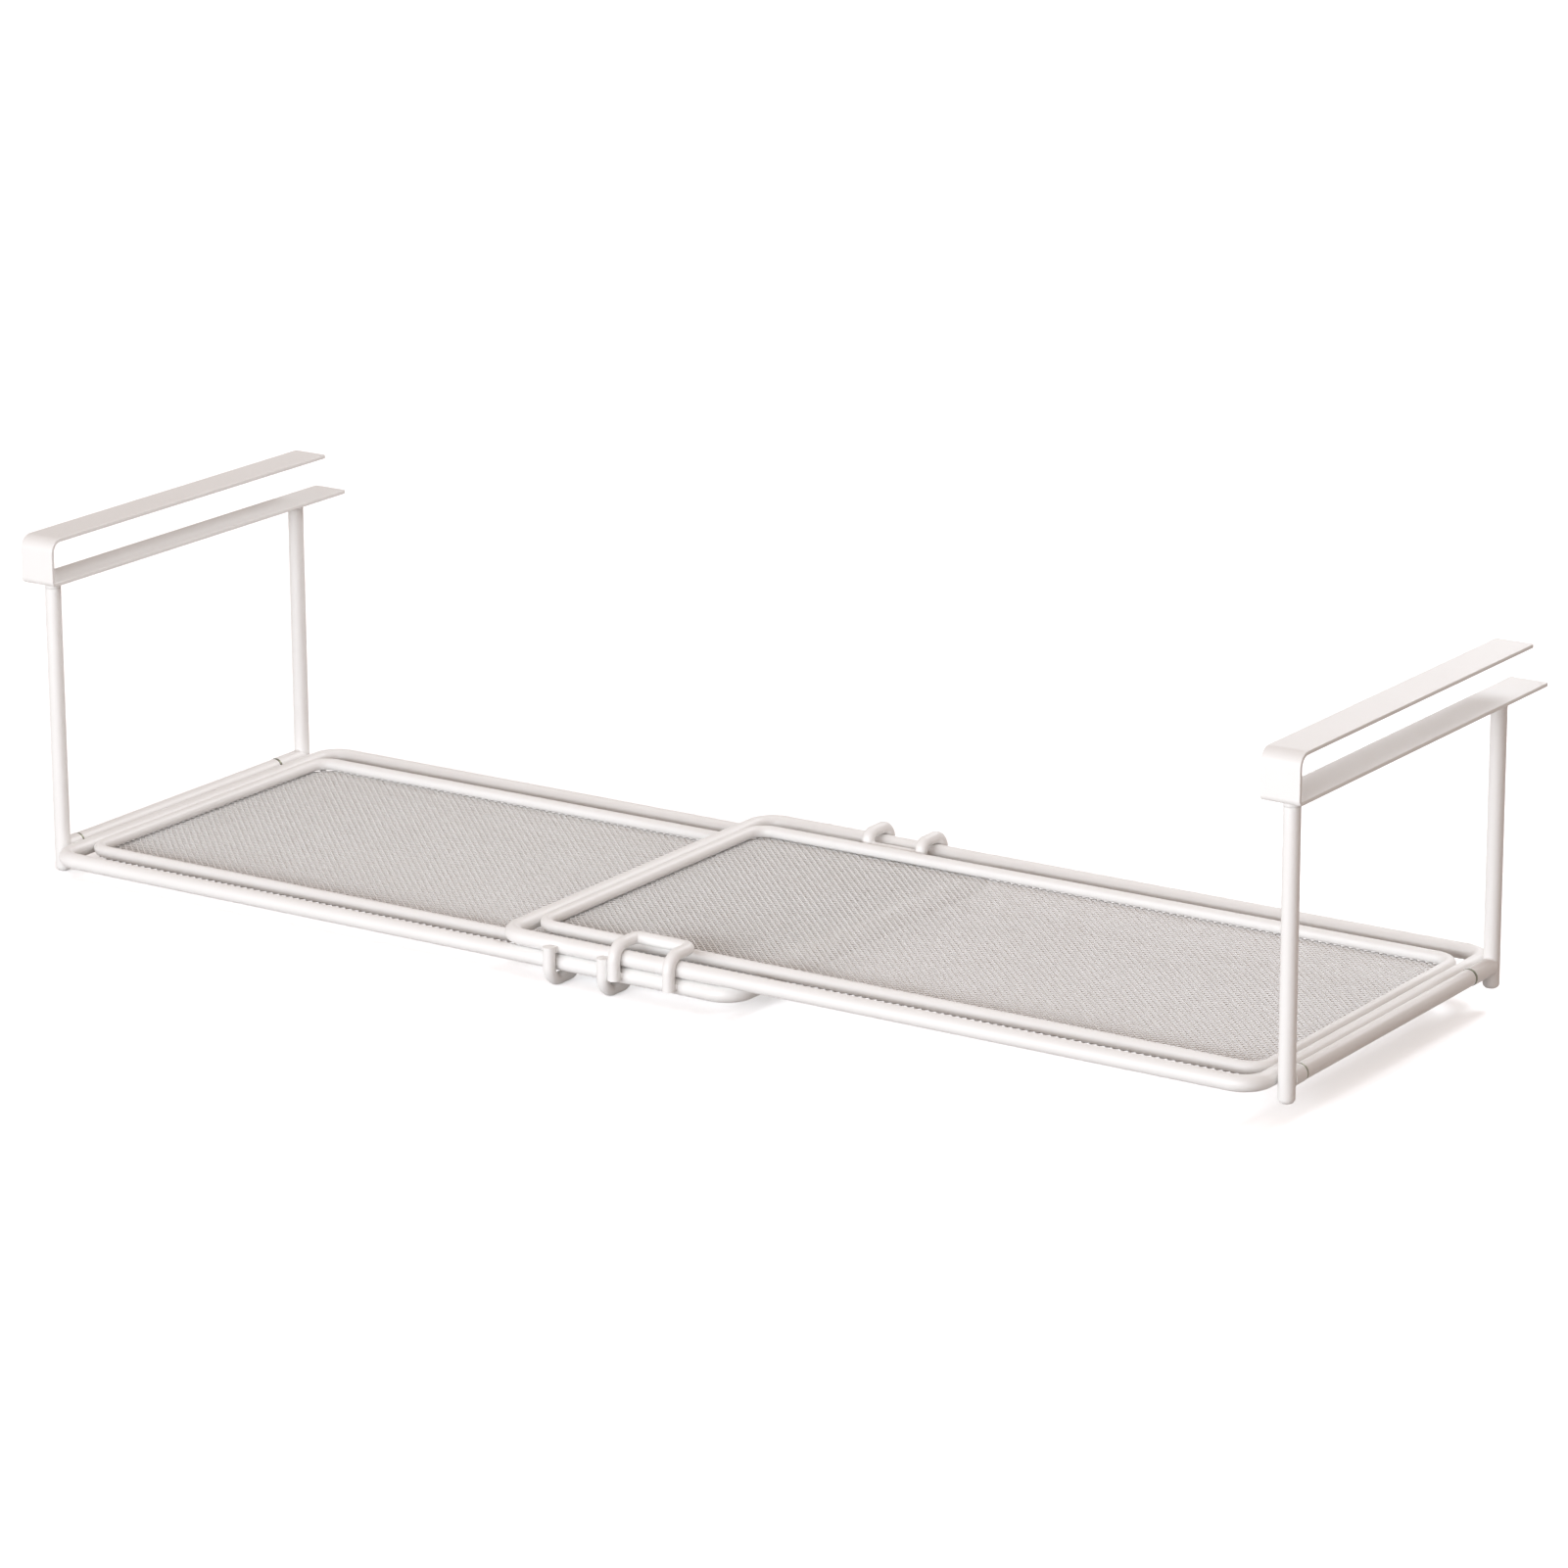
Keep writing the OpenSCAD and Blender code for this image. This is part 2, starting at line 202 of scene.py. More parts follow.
class OrganizerStage(bpy.types.PropertyGroup):
    """Camera, lamps and floor"""

    camera: place("Camera", "Place of the camera", (1.5935, -2.3563, 0.9071))
    azimuth: number("Azimuth", "Turn of the view to the left of +Y", math.radians(33.77), -7, 7,
                    "ANGLE")
    elevation: number("Elevation", "Slope at which the view looks down", math.radians(16.29), -2,
                      2, "ANGLE")
    roll: number("Roll", "Tilt of the picture about the view", math.radians(-0.24), -2, 2, "ANGLE")
    lens: number("Lens", "Focal length in millimetres on a 36 mm sensor", 141.6, 10)
    key: number("Key lamp", "Power of the soft box in front, in watts", 16.5)
    key_place: place("Key place", "Place of the soft box in front", (0, -2.4, 0.8))
    key_size: extent("Key size", "Width and height of the soft box", (1.4, 0.6))
    strip: number("Strip lamp", "Power of the long low lamp in front, in watts", 23.5)
    strip_place: place("Strip place", "Place of the long low lamp", (0, -1.8, 0.3))
    strip_size: extent("Strip size", "Width and height of the low lamp", (2.4, 0.55))
    rear: number("Rear lamp", "Power of the lamp behind, in watts", 3.8)
    rear_place: place("Rear place", "Place of the lamp behind", (-0.9, 2.4, 0.95))
    rear_size: extent("Rear size", "Width and height of the lamp behind", (0.7, 0.7))
    top: number("Top lamp", "Power of the lamp above the rear edge, in watts", 13)
    top_place: place("Top place", "Place of the lamp above", (0.35, 1.2, 1.2))
    top_size: extent("Top size", "Width and height of the lamp above", (0.6, 0.6))
    lamp_colour: colour("Lamp colour", "Colour of all the lamps' light", "#F3F9FF")
    sky: colour("Surroundings", "Colour of the light from all round", "#FFE1CF")
    sky_strength: number("Surroundings strength", "Strength of the light from all round", 0.38)
    floor: colour("Floor", "Colour that the floor throws back at the object", "#96897F")
    floor_reach: length("Floor reach", "Distance from the floor's middle to its edges", 6000, 100)
    floor_lift: number("Floor lift", "Light that lifts the floor to white in the picture", 0.42)
    lift_near: length("Near lift", "Distance up to which that light is as given", 700)
    lift_far: length("Far lift", "Distance from which it is full light", 1800)


def socket(sockets, name):
    """The socket of that name that is in use, or the one of that number."""
    if isinstance(name, int):
        return sockets[name]
    return next(s for s in sockets if s.name == name and s.enabled)


def add_node(tree, kind, inputs=None, **settings):
    """Adds a node with its settings, and sets its inputs or links them to sockets or nodes."""
    node = tree.nodes.new(kind)
    for name, value in settings.items():
        setattr(node, name, value)
    for name, value in (inputs or {}).items():
        if isinstance(value, bpy.types.Node):
            value = next(s for s in value.outputs if s.enabled)
        if isinstance(value, bpy.types.NodeSocket):
            tree.links.new(value, socket(node.inputs, name))
        else:
            socket(node.inputs, name).default_value = value
    return node


def new_material(name, base):
    """A material with an empty tree."""
    material = bpy.data.materials.new(name)
    material.use_nodes = True
    material.node_tree.nodes.clear()
    material.diffuse_color = (*base, 1.0)
    return material


def blotches(tree, width, detail=2.0):
    """Noise on object coordinates whose blotches are about as wide as given."""
    where = add_node(tree, "ShaderNodeTexCoord")
    return add_node(tree, "ShaderNodeTexNoise",
                    {"Vector": where.outputs["Object"], "Scale": 1 / width, "Detail": detail})


def powder_coat(finish):
    """Polyester powder coat on steel, sprayed and baked.

    It gives the eye a satin off-white skin with a faint orange peel and faint warm clouding.
    """
    material = new_material("satin_polyester_powder_coat", finish.coat)
    tree = material.node_tree
    tint = add_node(tree, "ShaderNodeMix", data_type="RGBA", inputs={
        "Factor": blotches(tree, finish.cloud), "A": (*finish.coat, 1),
        "B": (*finish.coat_thin, 1)})
    peel = blotches(tree, finish.peel)
    gloss = add_node(tree, "ShaderNodeMapRange", {
        "Value": peel, "To Min": finish.gloss - finish.gloss_play,
        "To Max": finish.gloss + finish.gloss_play})
    # The real peel is some 0.01 mm high, and this is as high as it has to be to show at all
    bump = add_node(tree, "ShaderNodeBump", {
        "Height": peel, "Strength": 0.35, "Distance": 0.05 * MM})
    shader = add_node(tree, "ShaderNodeBsdfPrincipled", {
        "Base Color": tint, "Roughness": gloss, "Normal": bump, "IOR": 1.5})
    add_node(tree, "ShaderNodeOutputMaterial", {"Surface": shader})
    return material


def zinc_plate(finish):
    """Zinc plated and passivated steel, tumbled in a drum.

    It gives the eye a dull grey metal with a faint green cast and small cloudy blotches.
    """
    material = new_material("passivated_zinc_plate", finish.zinc)
    tree = material.node_tree
    grain = blotches(tree, finish.brushed, detail=4.0)
    dark = [finish.zinc_shade * c for c in finish.zinc]
    tint = add_node(tree, "ShaderNodeMix", data_type="RGBA", inputs={
        "Factor": grain, "A": (*dark, 1), "B": (*finish.zinc, 1)})
    gloss = add_node(tree, "ShaderNodeMapRange", {
        "Value": grain, "To Min": finish.zinc_bright, "To Max": finish.zinc_dull})
    shader = add_node(tree, "ShaderNodeBsdfPrincipled", {
        "Base Color": tint, "Roughness": gloss, "Metallic": 1.0})
    add_node(tree, "ShaderNodeOutputMaterial", {"Surface": shader})
    return material


def made_material(name, maker):
    """The material of that name, made once."""
    return bpy.data.materials.get(name) or maker(bpy.context.scene.organizer_finish)


def coat_material():
    """The coat of all the wires, strips, meshes and welds."""
    return made_material("satin_polyester_powder_coat", powder_coat)


def dress(node, material):
    """Gives a node of the frame its material."""
    node.data.materials.clear()
    node.data.materials.append(material)


def new_tree(name, sizes):
    """A geometry tree with a geometry input and the named size inputs."""
    tree = bpy.data.node_groups.new(name, "GeometryNodeTree")
    tree.interface.new_socket("Geometry", in_out="OUTPUT", socket_type="NodeSocketGeometry")
    tree.interface.new_socket("Geometry", in_out="INPUT", socket_type="NodeSocketGeometry")
    for size in sizes:
        tree.interface.new_socket(size, in_out="INPUT", socket_type="NodeSocketFloat")
    material = tree.interface.new_socket("Material", in_out="INPUT",
                                         socket_type="NodeSocketMaterial")
    material.description = "Finish of the result"
    return tree


def finish_tree(tree, geometry, start):
    """Ends a tree in real geometry with its material."""
    smooth = add_node(tree, "GeometryNodeSetShadeSmooth", {"Geometry": geometry})
    real = add_node(tree, "GeometryNodeRealizeInstances", {"Geometry": smooth})
    coated = add_node(tree, "GeometryNodeSetMaterial", {
        "Geometry": real, "Material": start["Material"]})
    add_node(tree, "NodeGroupOutput", {"Geometry": coated})


def seed_object(name, mesh):
    """A passing object on which modifiers work."""
    seed = bpy.data.objects.new(name + "_seed", mesh)
    bpy.context.scene.collection.objects.link(seed)
    return seed


def harvest(seed, name):
    """A new object with the plain mesh that a seed's modifiers make. The seed goes."""
    depsgraph = bpy.context.evaluated_depsgraph_get()
    mesh = bpy.data.meshes.new_from_object(seed.evaluated_get(depsgraph), depsgraph=depsgraph)
    mesh.name = name
    bpy.data.objects.remove(seed)
    piece = bpy.data.objects.new(name, mesh)
    bpy.context.scene.collection.objects.link(piece)
    return piece


def grow(name, tree, base, values):
    """A piece grown by a tree from a base mesh."""
    seed = seed_object(name, base)
    modifier = seed.modifiers.new(tree.name, "NODES")
    modifier.node_group = tree
    for item in tree.interface.items_tree:
        if item.in_out == "INPUT" and item.name in values:
            modifier[item.identifier] = values[item.name]
    return harvest(seed, name)


def diamond_ring(tree, start, half):
    """One diamond: a ring of four quarters with an upper, a hole and a lower edge."""
    ring = add_node(tree, "GeometryNodeMeshGrid", {
        "Size X": math.tau, "Size Y": 2.0, "Vertices X": DIAMOND_SIDES + 1, "Vertices Y": 3})
    where = add_node(tree, "ShaderNodeSeparateXYZ", {
        0: add_node(tree, "GeometryNodeInputPosition")}).outputs
    # Nought at the hole and one at the upper and lower edges
    rise = add_node(tree, MATH, {0: where["Y"]}, operation="ABSOLUTE")
    spread = add_node(tree, "ShaderNodeMapRange", {"Value": rise, "To Min": start["Open Share"]})
    unit = add_node(tree, "ShaderNodeCombineXYZ", {
        "X": add_node(tree, MATH, {0: where["X"]}, operation="COSINE"),
        "Y": add_node(tree, MATH, {0: where["X"]}, operation="SINE"),
        "Z": where["Y"]})
    full = add_node(tree, VECTOR_MATH, {0: unit, 1: half}, operation="MULTIPLY")
    level = add_node(tree, VECTOR_MATH, {0: full, "Scale": spread}, operation="SCALE")
    # The hole's edge leans down to the rear, as the stretched strands do
    slope = add_node(tree, "ShaderNodeMapRange", {
        "Value": rise, "To Min": start["Slant"], "To Max": 0.0})
    across = add_node(tree, "ShaderNodeSeparateXYZ", {0: level}).outputs["Y"]
    drop = add_node(tree, "ShaderNodeCombineXYZ", {
        "Z": add_node(tree, MATH, {0: slope, 1: across}, operation="MULTIPLY")})
    return add_node(tree, "GeometryNodeSetPosition", {
        "Geometry": ring.outputs["Mesh"],
        "Position": add_node(tree, VECTOR_MATH, {0: level, 1: drop}, operation="SUBTRACT")})


def diamond_centres(tree, start, half):
    """Two grids of points, the second half a pitch off."""
    sizes = {}
    for axis, span in (("X", "Length"), ("Y", "Depth")):
        pitch = start[f"Pitch {axis}"]
        exact = add_node(tree, MATH, {0: start[span], 1: pitch}, operation="DIVIDE")
        count = add_node(tree, MATH, {0: exact}, operation="CEIL")
        sizes[f"Size {axis}"] = add_node(tree, MATH, {0: count, 1: pitch}, operation="MULTIPLY")
        sizes[f"Vertices {axis}"] = add_node(tree, MATH, {0: count, 1: 1}, operation="ADD")
    grid = add_node(tree, "GeometryNodeMeshGrid", sizes)
    grids = add_node(tree, "GeometryNodeJoinGeometry")
    for shift in (0, 1):
        offset = add_node(tree, VECTOR_MATH, {0: half, 1: (shift, shift, 0)},
                          operation="MULTIPLY")
        moved = add_node(tree, "GeometryNodeTransform", {
            "Geometry": grid.outputs["Mesh"], "Translation": offset})
        tree.links.new(moved.outputs[0], grids.inputs[0])
    return grids


def on_sheet(tree, start, half, points):
    """Drops a centre where its diamond would pass the sheet's round corners or edges."""
    sheet = add_node(tree, "ShaderNodeCombineXYZ", {"X": start["Length"], "Y": start["Depth"]})
    reach = add_node(tree, VECTOR_MATH, {0: sheet, "Scale": 0.5}, operation="SCALE")
    corner = add_node(tree, "ShaderNodeCombineXYZ", {"X": start["Corner"], "Y": start["Corner"]})
    core = add_node(tree, VECTOR_MATH, {0: reach, 1: corner}, operation="SUBTRACT")
    point = add_node(tree, "GeometryNodeInputPosition")
    mirrored = add_node(tree, VECTOR_MATH, {0: point}, operation="ABSOLUTE")
    past = add_node(tree, VECTOR_MATH, {0: mirrored, 1: core}, operation="SUBTRACT")
    beyond = add_node(tree, VECTOR_MATH, {0: past, 1: (0, 0, 0)}, operation="MAXIMUM")
    away = add_node(tree, VECTOR_MATH, {0: beyond}, operation="LENGTH")
    half_x = add_node(tree, "ShaderNodeSeparateXYZ", {0: half}).outputs["X"]
    room = add_node(tree, MATH, {0: start["Corner"], 1: half_x}, operation="SUBTRACT")
    outside = add_node(tree, "FunctionNodeCompare", {"A": away.outputs["Value"], "B": room},
                       data_type="FLOAT", operation="GREATER_THAN")
    return add_node(tree, "GeometryNodeDeleteGeometry", {
        "Geometry": points, "Selection": outside}, domain="POINT")


def mesh_tree():
    """Expanded mesh: diamonds on two staggered grids, cut to a sheet with round corners."""
    tree = new_tree("expanded_mesh", ["Length", "Depth", "Corner", "Pitch X", "Pitch Y",
                                      "Open Share", "Thickness", "Slant"])
    start = add_node(tree, "NodeGroupInput").outputs
    diamond = add_node(tree, "ShaderNodeCombineXYZ", {
        "X": start["Pitch X"], "Y": start["Pitch Y"], "Z": start["Thickness"]})
    half = add_node(tree, VECTOR_MATH, {0: diamond, "Scale": 0.5}, operation="SCALE")
    centres = on_sheet(tree, start, half, diamond_centres(tree, start, half))
    placed = add_node(tree, "GeometryNodeInstanceOnPoints", {
        "Points": centres, "Instance": diamond_ring(tree, start, half)})
    solid = add_node(tree, "GeometryNodeRealizeInstances", {"Geometry": placed})
    sheet = add_node(tree, "GeometryNodeMergeByDistance", {
        "Geometry": solid, "Distance": 0.01 * MM})
    finish_tree(tree, sheet, start)
    return tree


def close_rim(mesh):
    """Joins the upper and lower edges of the sheet's border with a wall."""
    bm = bmesh.new()
    bm.from_mesh(mesh)
    # Two corners over each other fall into one cell of this width
    cell = 0.05 * MM

    def spot(vertex):
        return round(vertex.co.x / cell), round(vertex.co.y / cell)

    rim = [e for e in bm.edges if e.is_boundary]
    low = {spot(v): v for e in rim for v in e.verts if v.co.z < 0}
    for edge in rim:
        first, second = edge.verts
        if first.co.z > 0 and second.co.z > 0:
            bm.faces.new((first, second, low[spot(second)], low[spot(first)])).smooth = True
    bmesh.ops.recalc_face_normals(bm, faces=bm.faces)
    bm.to_mesh(mesh)
    bm.free()


def mesh_floor(side, tree, sizes):
    """The expanded mesh of one tray, in the place of its plain sheet."""
    low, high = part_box(f"{side}_mesh")
    size = high - low
    half_x, half_y = sizes.pitch_x / 2, sizes.pitch_y / 2
    # Half a strand's width over the distance from a diamond's middle to its sides
    narrow = sizes.strand / 2 * math.sqrt(half_x ** -2 + half_y ** -2)
    piece = grow(f"{side}_mesh_floor", tree, bpy.data.meshes.new("seed"), {
        "Length": size.x, "Depth": size.y, "Corner": sizes.corner, "Pitch X": sizes.pitch_x,
        "Pitch Y": sizes.pitch_y, "Open Share": 1 - narrow, "Thickness": sizes.thickness,
        "Slant": sizes.slant, "Material": coat_material()})
    close_rim(piece.data)
    # It hangs from the sheet's upper face, close under the rail
    middle = (low + high) / 2
    middle.z = high.z - sizes.thickness / 2
    piece.data.transform(Matrix.Translation(middle))
    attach(piece, f"{side}_tray")
    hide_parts(f"{side}_mesh")


def strip_path(low, high, hook):
    """Middle line of the folded strip from one tip to the other, as (y, z) points."""
    half = hook.strip / 2
    points = [(high.y, low.z + half)]
    for radius, centre_z, first in ((hook.bottom_bend, low.z + hook.bottom_bend, 270),
                                    (hook.top_bend, high.z - hook.top_bend, 180)):
        for step in range(hook.bend_steps + 1):
            angle = math.radians(first - 90 * step / hook.bend_steps)
            points.append((low.y + radius + (radius - half) * math.cos(angle),
                           centre_z + (radius - half) * math.sin(angle)))
    points.append((low.y + hook.top_blade, high.z - half))
    return points


def drawn_in(distance, radius):
    """How far a rounded edge lies inside its flat, at a distance from the edge."""
    rest = max(radius - distance, 0)
    return radius - math.sqrt(max(radius * radius - rest * rest, 0))


def strip_ring(centre, normal, half_width, half_thick, edge):
    """A rounded rectangle across the strip; the first axis is X and the second is normal."""
    ring = []
    for turn, (side_x, side_n) in enumerate(((1, 1), (-1, 1), (-1, -1), (1, -1))):
        for step in range(EDGE_STEPS + 1):
            angle = math.radians(90 * turn + 90 * step / EDGE_STEPS)
            across = side_x * (half_width - edge) + edge * math.cos(angle)
            through = side_n * (half_thick - edge) + edge * math.sin(angle)
            ring.append(centre + Vector((across, 0, 0)) + normal * through)
    return ring


def folded_strip(low, high, hook):
    """The strip as a closed tube of rings along its middle line, with soft edges and tips."""
    points = [Vector((0, y, z)) for y, z in strip_path(low, high, hook)]
    lengths = [0.0]
    for first, second in zip(points, points[1:]):
        lengths.append(lengths[-1] + (second - first).length)
    total = lengths[-1]
    # Close to a tip the rings follow the rounded corners
    near = [hook.tip * (1 - math.cos(math.radians(90 * step / TIP_STEPS)))
            for step in range(TIP_STEPS + 1)]
    stations = near + lengths[1:-1] + [total - distance for distance in reversed(near)]
    mesh = bpy.data.meshes.new("strip")
    bm = bmesh.new()
    rings = []
    for station in stations:
        index = max(i for i in range(len(points) - 1) if lengths[i] <= station + SAME_STATION)
        run = points[index + 1] - points[index]
        centre = points[index] + run.normalized() * (station - lengths[index])
        before = points[max(index - 1, 0)] if station == lengths[index] else points[index]
        along = (points[index + 1] - before).normalized()
        normal = Vector((0, -along.z, along.y))
        to_tip = min(station, total - station)
        # The cut end keeps a small flat, because the edge radius is less than half the strip
        half_thick = hook.strip / 2 - drawn_in(to_tip, hook.edge)
        half_width = (high.x - low.x) / 2 - drawn_in(to_tip, hook.tip)
        ring = strip_ring(centre, normal, half_width, half_thick, hook.edge * EDGE_SHARE)
        rings.append([bm.verts.new(corner) for corner in ring])
    for first, second in zip(rings, rings[1:]):
        for step in range(len(first)):
            after = (step + 1) % len(first)
            bm.faces.new((first[step], first[after], second[after], second[step])).smooth = True
    bm.faces.new(rings[0])
    bm.faces.new(rings[-1])
    bmesh.ops.recalc_face_normals(bm, faces=bm.faces)
    bmesh.ops.translate(bm, verts=bm.verts, vec=((low.x + high.x) / 2, 0, 0))
    bm.to_mesh(mesh)
    bm.free()
    return mesh


def folded_hook(side, hook):
    """The strip of one end frame, folded into a slot that is open to the rear."""
    low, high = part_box(f"{side}_hook")
    name = f"{side}_folded_strip"
    seed = seed_object(name, folded_strip(low, high, hook))
    # The flats stay flat between the rounded edges
    seed.modifiers.new("flats", "WEIGHTED_NORMAL").weight = 100
    piece = harvest(seed, name)
    dress(piece, coat_material())
    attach(piece, f"{side}_end_frame")
    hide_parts(f"{side}_hook")


def bead_tree():
    """Weld beads: a rippled round bead along each polyline of the base mesh."""
    tree = new_tree("weld_beads", ["Spacing", "Ripple Share", "Ripple Length"])
    start = add_node(tree, "NodeGroupInput").outputs
    lines = add_node(tree, "GeometryNodeMeshToCurve", {"Mesh": start["Geometry"]})
    fine = add_node(tree, "GeometryNodeResampleCurve", {
        "Curve": lines, "Length": start["Spacing"]}, mode="LENGTH")
    girth = add_node(tree, "GeometryNodeInputNamedAttribute", {"Name": "girth"}, data_type="FLOAT")
    along = add_node(tree, "GeometryNodeSplineParameter").outputs["Length"]
    turns = add_node(tree, MATH, {0: along, 1: start["Ripple Length"]}, operation="DIVIDE")
    angle = add_node(tree, MATH, {0: turns, 1: math.tau}, operation="MULTIPLY")
    wave = add_node(tree, MATH, {0: angle}, operation="SINE")
    swell = add_node(tree, MATH, {0: wave, 1: start["Ripple Share"], 2: 1.0},
                     operation="MULTIPLY_ADD")
    radius = add_node(tree, MATH, {0: girth, 1: swell}, operation="MULTIPLY")
    ring = add_node(tree, "GeometryNodeCurvePrimitiveCircle", {
        "Resolution": BEAD_SIDES, "Radius": 1.0})
    bead = add_node(tree, "GeometryNodeCurveToMesh", {
        "Curve": fine, "Profile Curve": ring, "Scale": radius, "Fill Caps": True})
    finish_tree(tree, bead, start)
    return tree


def line_mesh(paths):
    """Polylines, each a list of (point, girth) and a flag that closes it, as one mesh."""
    points, edges, girths = [], [], []
    for path, closed in paths:
        first = len(points)
        points += [point for point, _ in path]
        girths += [girth for _, girth in path]
        edges += [(i, i + 1) for i in range(first, len(points) - 1)]
        if closed:
            edges.append((len(points) - 1, first))
    mesh = bpy.data.meshes.new("lines")
    mesh.from_pydata(points, edges, [])
    mesh.attributes.new("girth", "FLOAT", "POINT").data.foreach_set("value", girths)
    return mesh


def tack(middle, along, span, girth):
    """A straight bead that thins out at both ends."""
    axis = Vector(along)
    return [(middle + axis * span * p, girth * share) for p, share in TACK_SHARES], False


def centre_of(node):
    """The middle of a node's box."""
    low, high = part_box(node)
    return (low + high) / 2


def tray_paths(side, weld):
    """Beads of one tray: in the grooves of its end rails, and beside the clips' legs."""
    way = SIDES[side]
    low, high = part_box(f"{side}_outer_rail")
    inner_low, inner_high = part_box(f"{side}_inner_rail")
    tube = centre_of(f"{side}_hinge_tube")
    tube_low, tube_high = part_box(f"{side}_hinge_tube")
    rail_r, wire_r = (high.z - low.z) / 2, (inner_high.z - inner_low.z) / 2
    middle = (low + high) / 2
    paths = []
    # The two loops meet side by side, and their beads lie in the lower groove
    for end, inner_end, to in ((low.x, inner_low.x, 1), (high.x, inner_high.x, -1)):
        between = (end + to * 2 * rail_r + inner_end) / 2
        groove = between + to * (wire_r - rail_r) * weld.groove_share
        for y in (middle.y - weld.rail_apart, middle.y + weld.rail_apart):
            spot = Vector((groove, y, middle.z - weld.rail_drop))
            paths.append(tack(spot, (0, 1, 0), weld.tack, weld.bead))
    rail_end = high.x if way > 0 else low.x
    tube_side = tube_low.x if way > 0 else tube_high.x
    for y in (tube.y - weld.tube_apart, tube.y + weld.tube_apart):
        spot = Vector(((rail_end + tube_side) / 2, y, (middle.z + tube.z) / 2 - weld.tube_drop))
        paths.append(tack(spot, (0, 1, 0), weld.tack, weld.bead))
    for end, to in ENDS.items():
        clip_low, clip_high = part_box(f"{side}_{end}_clip")
        rail_y = high.y if to > 0 else low.y
        for leg in (clip_low.x + wire_r, clip_high.x - wire_r):
            for beside in (-1, 1):
                # The lower tray's legs run up from the rail, and the upper tray's run down
                spot = Vector((leg + beside * weld.clip_share * wire_r,
                               rail_y + to * weld.clip_out, middle.z - way * weld.clip_drop))
                paths.append(tack(spot, (0, 0, 1), rail_r * weld.clip_length_share,
                                  weld.bead * weld.clip_girth_share))
    return paths


def saddle(side, end, weld):
    """The bead where a knuckle is saddled on its upright."""
    upright_low, upright_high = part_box(f"{side}_{end}_upright")
    low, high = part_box(f"{side}_{end}_knuckle")
    centre = (low + high) / 2
    post = (upright_low + upright_high) / 2
    rod_r, knuckle_r = (upright_high.x - upright_low.x) / 2, (high.z - low.z) / 2
    to = -ENDS[end]
    start = abs((low.y if to > 0 else high.y) - post.y)
    path = []
    for step in range(SADDLE_STEPS):
        angle = math.tau * step / SADDLE_STEPS
        x = SADDLE_SHARE * rod_r * math.sin(angle)
        # The ring lies on the rod, but never deeper than the knuckle's cut end
        out = max(math.sqrt(rod_r * rod_r - x * x), start)
        path.append((Vector((post.x + x, post.y + to * out,
                             centre.z + knuckle_r * math.cos(angle))), weld.saddle))
    return path, True


def collar(bm, side, end, weld):
    """A concave fillet of weld round the top of an upright, under the strip."""
    low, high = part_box(f"{side}_{end}_upright")
    post = (low + high) / 2
    rod_r = (high.x - low.x) / 2
    root = rod_r - weld.collar_in
    # The upper edge goes a little into the strip, and the inner edge into the rod
    profile = [(root, weld.collar_up), (rod_r + weld.collar, weld.collar_up)]
    for step in range(FILLET_STEPS + 1):
        angle = math.radians(90 * step / FILLET_STEPS)
        profile.append((rod_r + weld.collar * (1 - math.sin(angle)),
                        -weld.collar_h * (1 - math.cos(angle))))
    profile.append((root, -weld.collar_h))
    verts = [bm.verts.new((post.x + x, post.y, high.z + z)) for x, z in profile]
    edges = [bm.edges.new((verts[i - 1], verts[i])) for i in range(len(verts))]
    bmesh.ops.spin(bm, geom=verts + edges, cent=post, axis=(0, 0, 1), angle=math.tau,
                   steps=COLLAR_SIDES, use_merge=True)


def join_mesh(piece, bm):
    """Adds the faces of a mesh in the making to a piece, smooth and facing outward."""
    bm.from_mesh(piece.data)
    bmesh.ops.recalc_face_normals(bm, faces=bm.faces)
    for face in bm.faces:
        face.smooth = True
    bm.to_mesh(piece.data)
    bm.free()


def weld_piece(name, body, tree, weld, paths):
    """The beads of one body."""
    piece = grow(name, tree, line_mesh(paths), {
        "Spacing": weld.spacing, "Ripple Share": weld.ripple_share, "Ripple Length": weld.ripple,
        "Material": coat_material()})
    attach(piece, body)
    return piece


class ORGANIZER_OT_finish(bpy.types.Operator):
    """Coats the wires and the strip, and plates the pins and washers"""

    bl_idname = "organizer.finish"
    bl_label = "Coat and plate"

    def execute(self, context):
        zinc = made_material("passivated_zinc_plate", zinc_plate)
        for name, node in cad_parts.items():
            dress(node, zinc if name.endswith(("_pin", "_washer")) else coat_material())
        return {"FINISHED"}


class ORGANIZER_OT_mesh(bpy.types.Operator):
    """Lays the expanded mesh into both trays"""

    bl_idname = "organizer.mesh"
    bl_label = "Expanded mesh"

    def execute(self, context):
        tree = mesh_tree()
        for side in SIDES:
            mesh_floor(side, tree, context.scene.organizer_mesh)
        return {"FINISHED"}


class ORGANIZER_OT_hooks(bpy.types.Operator):
    """Folds the strip of both end frames"""

    bl_idname = "organizer.hooks"
    bl_label = "Folded strips"

    def execute(self, context):
        for side in SIDES:
            folded_hook(side, context.scene.organizer_hook)
        return {"FINISHED"}


class ORGANIZER_OT_welds(bpy.types.Operator):
    """Lays the weld beads of the trays and of the end frames"""

    bl_idname = "organizer.welds"
    bl_label = "Weld beads"

    def execute(self, context):
        tree = bead_tree()
        weld = context.scene.organizer_weld
        for side in SIDES:
            weld_piece(f"{side}_tray_welds", f"{side}_tray", tree, weld, tray_paths(side, weld))
            saddles = [saddle(side, end, weld) for end in ENDS]
            piece = weld_piece(f"{side}_end_frame_welds", f"{side}_end_frame", tree, weld, saddles)
            bm = bmesh.new()
            for end in ENDS:
                collar(bm, side, end, weld)
            join_mesh(piece, bm)
        return {"FINISHED"}


